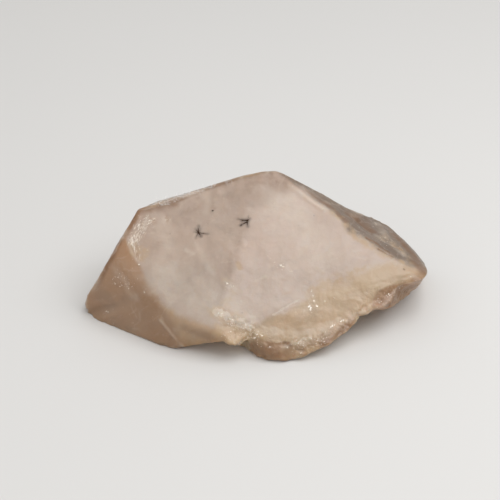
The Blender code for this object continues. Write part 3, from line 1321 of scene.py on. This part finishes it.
class QUARTZ_OT_flakes(bpy.types.Operator):
    """Makes the glittering flakes of healed cracks and the pale fan at the left corner"""

    bl_idname = "quartz.flakes"
    bl_label = "Glittering flakes"

    def execute(self, context):
        settings = context.scene.quartz_inclusions
        tree = tree_of(bpy.data.objects["crystal_surface"])
        rng = random.Random(11)
        material = flake_material(context.scene.quartz_crystal.frost)
        size = settings.flake_size

        work = bmesh.new()
        for across, down, bulk in GLINTS:
            for _ in range(3):
                spot = (across + rng.gauss(0, 0.5), down + rng.gauss(0, 0.4))
                add_turned_flake(work, tree, spot, size * bulk, (0.6, 1.2), (0.55, 0.035 * MM), rng)
        for middle, reach, count in SPARKLES:
            for _ in range(count):
                spot = tuple(c + rng.gauss(0, reach * 0.5) for c in middle)
                add_turned_flake(work, tree, spot, size, (0.15, 0.6), (0.6, 0.03 * MM), rng)
        self.finish("crack_glints", work, material)

        work = bmesh.new()
        for middle, reach, count, lie in FAN_TUFTS:
            for _ in range(round(count * settings.fan_fullness)):
                spot = tuple(c + rng.gauss(0, reach * 0.75) for c in middle)
                place, normal = on_crystal(tree, spot)
                heading = tuple(c + d + rng.gauss(0, 1.0) for c, d in zip(spot, lie))
                forward = along_surface(tree, spot, heading, normal)
                scale = rng.uniform(0.25, 1.0)
                add_flake(
                    work, place, normal, forward,
                    size * 2.8 * scale, size * 0.16 * scale, 0.045 * MM, rng,
                )
        self.finish("pale_fan", work, material)
        return {"FINISHED"}

    def finish(self, name, work, material):
        obj = new_mesh_object(name, work)
        obj.data.materials.append(material)
        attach(obj, "root")


class QUARTZ_OT_lint(bpy.types.Operator):
    """Makes the fine white hairs caught on the top edge"""

    bl_idname = "quartz.lint"
    bl_label = "Lint"

    def execute(self, context):
        settings = context.scene.quartz_inclusions
        tree = tree_of(bpy.data.objects["crystal_surface"])
        rng = random.Random(23)
        work = bmesh.new()
        for _ in range(settings.lint_count):
            stretch = rng.choices(range(len(LINT_LINE) - 1), weights=(5, 7, 4, 4, 1, 2))[0]
            start, end = LINT_LINE[stretch], LINT_LINE[stretch + 1]
            part = rng.random()
            spot = (
                start[0] + (end[0] - start[0]) * part,
                start[1] + (end[1] - start[1]) * part + rng.uniform(0.3, 6.0) * rng.random(),
            )
            place, normal = on_crystal(tree, spot)
            self.add_hair(work, place, normal, settings, rng)
        obj = new_mesh_object("edge_lint", work)
        obj.data.materials.append(lint_material())
        obj.data.shade_smooth()
        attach(obj, "root")
        return {"FINISHED"}

    def add_hair(self, work, place, normal, settings, rng):
        heading = Vector((rng.uniform(-1, 1), rng.uniform(-0.5, 0.9), rng.uniform(-0.2, 0.8)))
        heading = (heading - normal * heading.dot(normal) * 0.6).normalized()
        curl = Vector((rng.uniform(-1, 1), rng.uniform(-1, 1), rng.uniform(-1, 1)))
        length = settings.lint_length * rng.uniform(0.4, 1.3)
        pieces = 8
        point = place + normal * 0.02 * MM
        path, radii = [point.copy()], [settings.lint_width * 0.35]
        for step in range(pieces):
            heading = (heading + curl * 0.22).normalized()
            point = point + heading * length / pieces
            path.append(point.copy())
            taper = 1.0 - 0.6 * abs(2 * (step + 1) / pieces - 1)
            radii.append(settings.lint_width * 0.5 * taper)
        add_tube(work, path, radii, sides=5)


class QUARTZ_OT_stage(bpy.types.Operator):
    """Makes the floor, the lights and the camera"""

    bl_idname = "quartz.stage"
    bl_label = "Stage"

    def execute(self, context):
        settings = context.scene.quartz_stage
        self.make_floor(settings)
        self.make_sky(context.scene, settings)
        self.make_light("key_light", KEY_PLACE, settings.key_power, settings.key_side)
        self.make_light("fill_light", FILL_PLACE, settings.key_power * FILL_SHARE, FILL_SIDE)
        self.make_camera(context.scene)
        context.scene.view_settings.view_transform = "Standard"
        return {"FINISHED"}

    def make_floor(self, settings):
        work = bmesh.new()
        bmesh.ops.create_grid(work, x_segments=1, y_segments=1, size=settings.floor_side / 2)
        floor = new_mesh_object("floor", work)
        make = MaterialBuilder("pale_floor")
        cloudy = make.clouds(Scale=6.0, Detail=2.0, From=0.3, To=0.7)
        dim = tuple(value * 0.985 for value in settings.floor_colour)
        make.link(make.mix(cloudy, settings.floor_colour, dim), make.shader.inputs["Base Color"])
        make.shader.inputs["Roughness"].default_value = 0.75
        floor.data.materials.append(make.material)

    def make_sky(self, scene, settings):
        world = bpy.data.worlds.new("soft_sky")
        world.use_nodes = True
        background = world.node_tree.nodes["Background"]
        background.inputs["Color"].default_value = (1.0, 0.985, 0.965, 1.0)
        background.inputs["Strength"].default_value = settings.sky
        scene.world = world

    def make_light(self, name, place, power, side):
        light = bpy.data.lights.new(name, "AREA")
        light.energy = power
        light.size = side
        obj = bpy.data.objects.new(name, light)
        obj.location = place
        aim = Vector((0, 0, 10 * MM)) - obj.location
        obj.rotation_euler = aim.to_track_quat("-Z", "Y").to_euler()
        bpy.context.scene.collection.objects.link(obj)

    def make_camera(self, scene):
        camera = bpy.data.cameras.new("camera")
        camera.lens = camera.sensor_width * VIEW_DISTANCE / (PHOTO_SIDE * PIXEL)
        camera.clip_start = 0.01
        camera.clip_end = 100.0
        obj = bpy.data.objects.new("camera", camera)
        back, right, up = view_axes()
        obj.matrix_world = Matrix.Translation(VIEW_TARGET + back * VIEW_DISTANCE) @ Matrix(
            (
                (right.x, up.x, back.x, 0),
                (right.y, up.y, back.y, 0),
                (right.z, up.z, back.z, 0),
                (0, 0, 0, 1),
            )
        )
        scene.collection.objects.link(obj)
        scene.camera = obj


class QUARTZ_PT_panel(bpy.types.Panel):
    """Lists the crystal's sizes, colours and pieces"""

    bl_label = "Star Quartz"
    bl_idname = "QUARTZ_PT_panel"
    bl_space_type = "VIEW_3D"
    bl_region_type = "UI"
    bl_category = "Quartz"

    def draw(self, context):
        layout = self.layout
        for label, settings, operators in (
            ("Crystal", context.scene.quartz_crystal, (QUARTZ_OT_crystal,)),
            (
                "Inclusions and lint", context.scene.quartz_inclusions,
                (QUARTZ_OT_stars, QUARTZ_OT_flakes, QUARTZ_OT_lint),
            ),
            ("Stage", context.scene.quartz_stage, (QUARTZ_OT_stage,)),
        ):
            box = layout.box()
            box.label(text=label)
            for name in settings.__annotations__:
                box.prop(settings, name)
            for operator in operators:
                box.operator(operator.bl_idname)


CLASSES = (
    QuartzCrystalSettings,
    QuartzInclusionSettings,
    QuartzStageSettings,
    QUARTZ_OT_crystal,
    QUARTZ_OT_stars,
    QUARTZ_OT_flakes,
    QUARTZ_OT_lint,
    QUARTZ_OT_stage,
    QUARTZ_PT_panel,
)


def register():
    for item in CLASSES:
        bpy.utils.register_class(item)
    bpy.types.Scene.quartz_crystal = PointerProperty(type=QuartzCrystalSettings)
    bpy.types.Scene.quartz_inclusions = PointerProperty(type=QuartzInclusionSettings)
    bpy.types.Scene.quartz_stage = PointerProperty(type=QuartzStageSettings)


def unregister():
    del bpy.types.Scene.quartz_stage
    del bpy.types.Scene.quartz_inclusions
    del bpy.types.Scene.quartz_crystal
    for item in reversed(CLASSES):
        bpy.utils.unregister_class(item)


def main():
    register()
    bpy.ops.quartz.crystal()
    bpy.ops.quartz.stars()
    bpy.ops.quartz.flakes()
    bpy.ops.quartz.lint()
    bpy.ops.quartz.stage()


if __name__ == "__main__":
    main()
